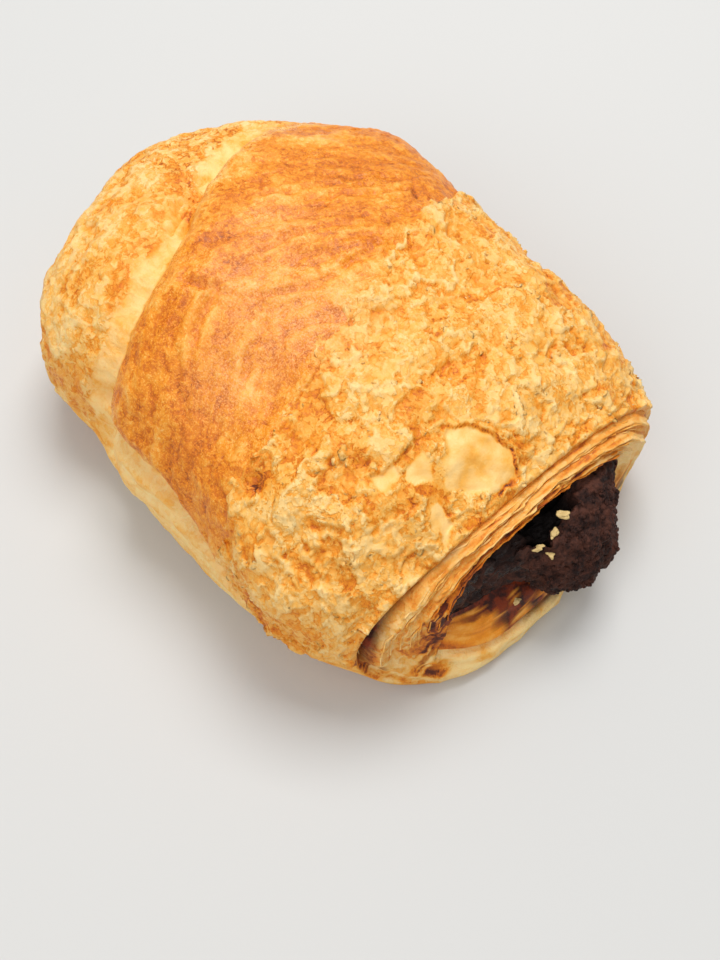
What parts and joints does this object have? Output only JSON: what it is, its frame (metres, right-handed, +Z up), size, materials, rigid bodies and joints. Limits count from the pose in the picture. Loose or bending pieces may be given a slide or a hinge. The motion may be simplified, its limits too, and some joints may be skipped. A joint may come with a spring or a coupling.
{
  "type": "pain au chocolat",
  "caption": "Baked roll of laminated dough with a flaky golden crust, closed round a dark filling that bulges from its open end.",
  "frame": {"origin": "middle of the footprint, on the surface that the pastry lies on", "axes": "+X out of the open end where the filling bulges, along the roll; -Y to the side with the pale lower layer; +Z up"},
  "size_m": [0.113, 0.083, 0.0411],
  "materials": {
    "baked_dough": "baked crust, satin where it was glazed and matt on the cut layers",
    "chocolate": "matt and crumbly where it bulges, glossy where it melted"
  },
  "bodies": {
    "root": {"pastry": "baked_dough", "chocolate_filling": "chocolate"}
  },
  "joints": []
}
